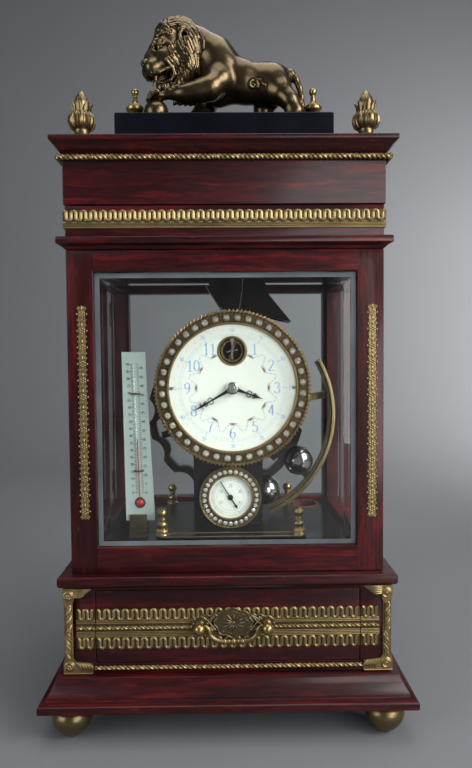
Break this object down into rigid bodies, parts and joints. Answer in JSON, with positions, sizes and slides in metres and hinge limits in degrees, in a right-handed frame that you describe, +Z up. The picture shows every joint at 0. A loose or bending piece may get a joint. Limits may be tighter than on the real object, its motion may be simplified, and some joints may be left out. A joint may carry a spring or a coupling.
{
  "type": "ball-driven clock",
  "caption": "Tall glazed wooden shelf clock driven by steel balls in a scalloped wheel, with barometer dial, thermometer, ball drawer, hinged lid and lion on top.",
  "frame": {"origin": "centre of the floor under the case", "axes": "+Z up, -Y towards the viewer of the dial, +X to the viewer's right"},
  "size_m": [0.3302, 0.2754, 0.6874],
  "materials": {
    "mahogany": "gloss red-brown lacquer, worn at the edges",
    "brass": "aged cast brass",
    "dark_brass": "dark patinated sheet brass",
    "bronze": "brown bronze patina",
    "steel": "polished steel",
    "blued_steel": "black",
    "black_lacquer": "black lacquer",
    "enamel": "white enamel with blue numerals",
    "thermometer_white": "white enamelled plate",
    "glass": "clear"
  },
  "bodies": {
    "case": {"back_plate": "dark_brass", "ball_ramp": "dark_brass", "barometer_case": "brass", "barometer_dial": "enamel", "base_plinth": "mahogany", "ceiling_board": "mahogany", "corner_mount_left": "brass", "corner_mount_right": "brass", "drawer_carcass": "mahogany", "feed_chute": "dark_brass", "foot_front_left": "brass", "foot_front_right": "brass", "foot_rear_left": "brass", "foot_rear_right": "brass", "frieze_band": "brass", "frieze_frame": "mahogany", "front_frame": "mahogany", "front_glass": "glass", "front_plate": "dark_brass", "guard_rail": "brass", "lower_rope": "brass", "main_bezel": "brass", "main_dial": "enamel", "platform": "brass", "rear_cock": "dark_brass", "side_frame_left": "mahogany", "side_frame_right": "mahogany", "side_glass_left": "glass", "side_glass_right": "glass", "stile_strip_left": "brass", "stile_strip_right": "brass", "thermometer_bracket": "brass", "thermometer_plate": "thermometer_white", "waist_board": "mahogany"},
    "lid": {"lid_box": "mahogany", "lid_rope": "brass", "plinth_block": "black_lacquer", "lion": "bronze", "bell_finial_left": "brass", "bell_finial_right": "brass", "pinecone_front_left": "brass", "pinecone_front_right": "brass", "pinecone_rear_left": "brass", "pinecone_rear_right": "brass"},
    "back_door": {"back_door_frame": "mahogany", "back_glass": "glass"},
    "drawer": {"drawer_box": "mahogany", "drawer_band": "brass", "handle_plate": "brass"},
    "bail": {"bail_handle": "brass"},
    "wheel": {"ball_wheel": "bronze", "steel_ball_1": "steel", "steel_ball_2": "steel"},
    "second_arbor": {"intermediate_arbor": "brass"},
    "minute": {"centre_arbor": "steel", "minute_hand": "blued_steel"},
    "hour": {"hour_pipe": "brass", "hour_hand": "blued_steel"},
    "balance": {"balance_wheel": "dark_brass"},
    "pointer": {"barometer_pointer": "blued_steel"}
  },
  "joints": [
    {"name": "lid_hinge", "type": "hinge", "parent": "case", "child": "lid", "pos_m": [0, 0.11285, 0.47], "axis": [-1, 0, 0], "range_deg": [0, 75]},
    {"name": "back_door_hinge", "type": "hinge", "parent": "case", "child": "back_door", "pos_m": [-0.139, 0.11165, 0.2887], "axis": [0, 0, 1], "range_deg": [0, 110]},
    {"name": "drawer_slide", "type": "slide", "parent": "case", "child": "drawer", "axis": [0, -1, 0], "range_m": [0, 0.15]},
    {"name": "bail_hinge", "type": "hinge", "parent": "drawer", "child": "bail", "pos_m": [0.0045, -0.12515, 0.1023], "axis": [-1, 0, 0], "range_deg": [0, 90]},
    {"name": "wheel_spin", "type": "hinge", "parent": "case", "child": "wheel", "pos_m": [-0.0009, 0.01335, 0.2758], "axis": [0, 1, 0], "continuous": true},
    {"name": "second_arbor_spin", "type": "hinge", "parent": "case", "child": "second_arbor", "pos_m": [-0.01299, -0.01665, 0.30326], "axis": [0, 1, 0], "continuous": true},
    {"name": "minute_spin", "type": "hinge", "parent": "case", "child": "minute", "pos_m": [0.0059, -0.01665, 0.3067], "axis": [0, 1, 0], "continuous": true},
    {"name": "hour_spin", "type": "hinge", "parent": "case", "child": "hour", "pos_m": [0.0059, -0.01665, 0.3067], "axis": [0, 1, 0], "continuous": true},
    {"name": "balance_swing", "type": "hinge", "parent": "case", "child": "balance", "pos_m": [0.0059, -0.03365, 0.3434], "axis": [0, 1, 0], "range_deg": [-135, 135], "stiffness_Nm_per_rad": 0.000025},
    {"name": "pointer_turn", "type": "hinge", "parent": "case", "child": "pointer", "pos_m": [0.003, -0.04165, 0.1978], "axis": [0, 1, 0], "range_deg": [-120, 150], "stiffness_Nm_per_rad": 0.00002}
  ],
  "couplings": [
    {"joint": "second_arbor_spin", "follows": "wheel_spin", "ratio": -4},
    {"joint": "minute_spin", "follows": "wheel_spin", "ratio": 12},
    {"joint": "hour_spin", "follows": "wheel_spin", "ratio": 1}
  ]
}
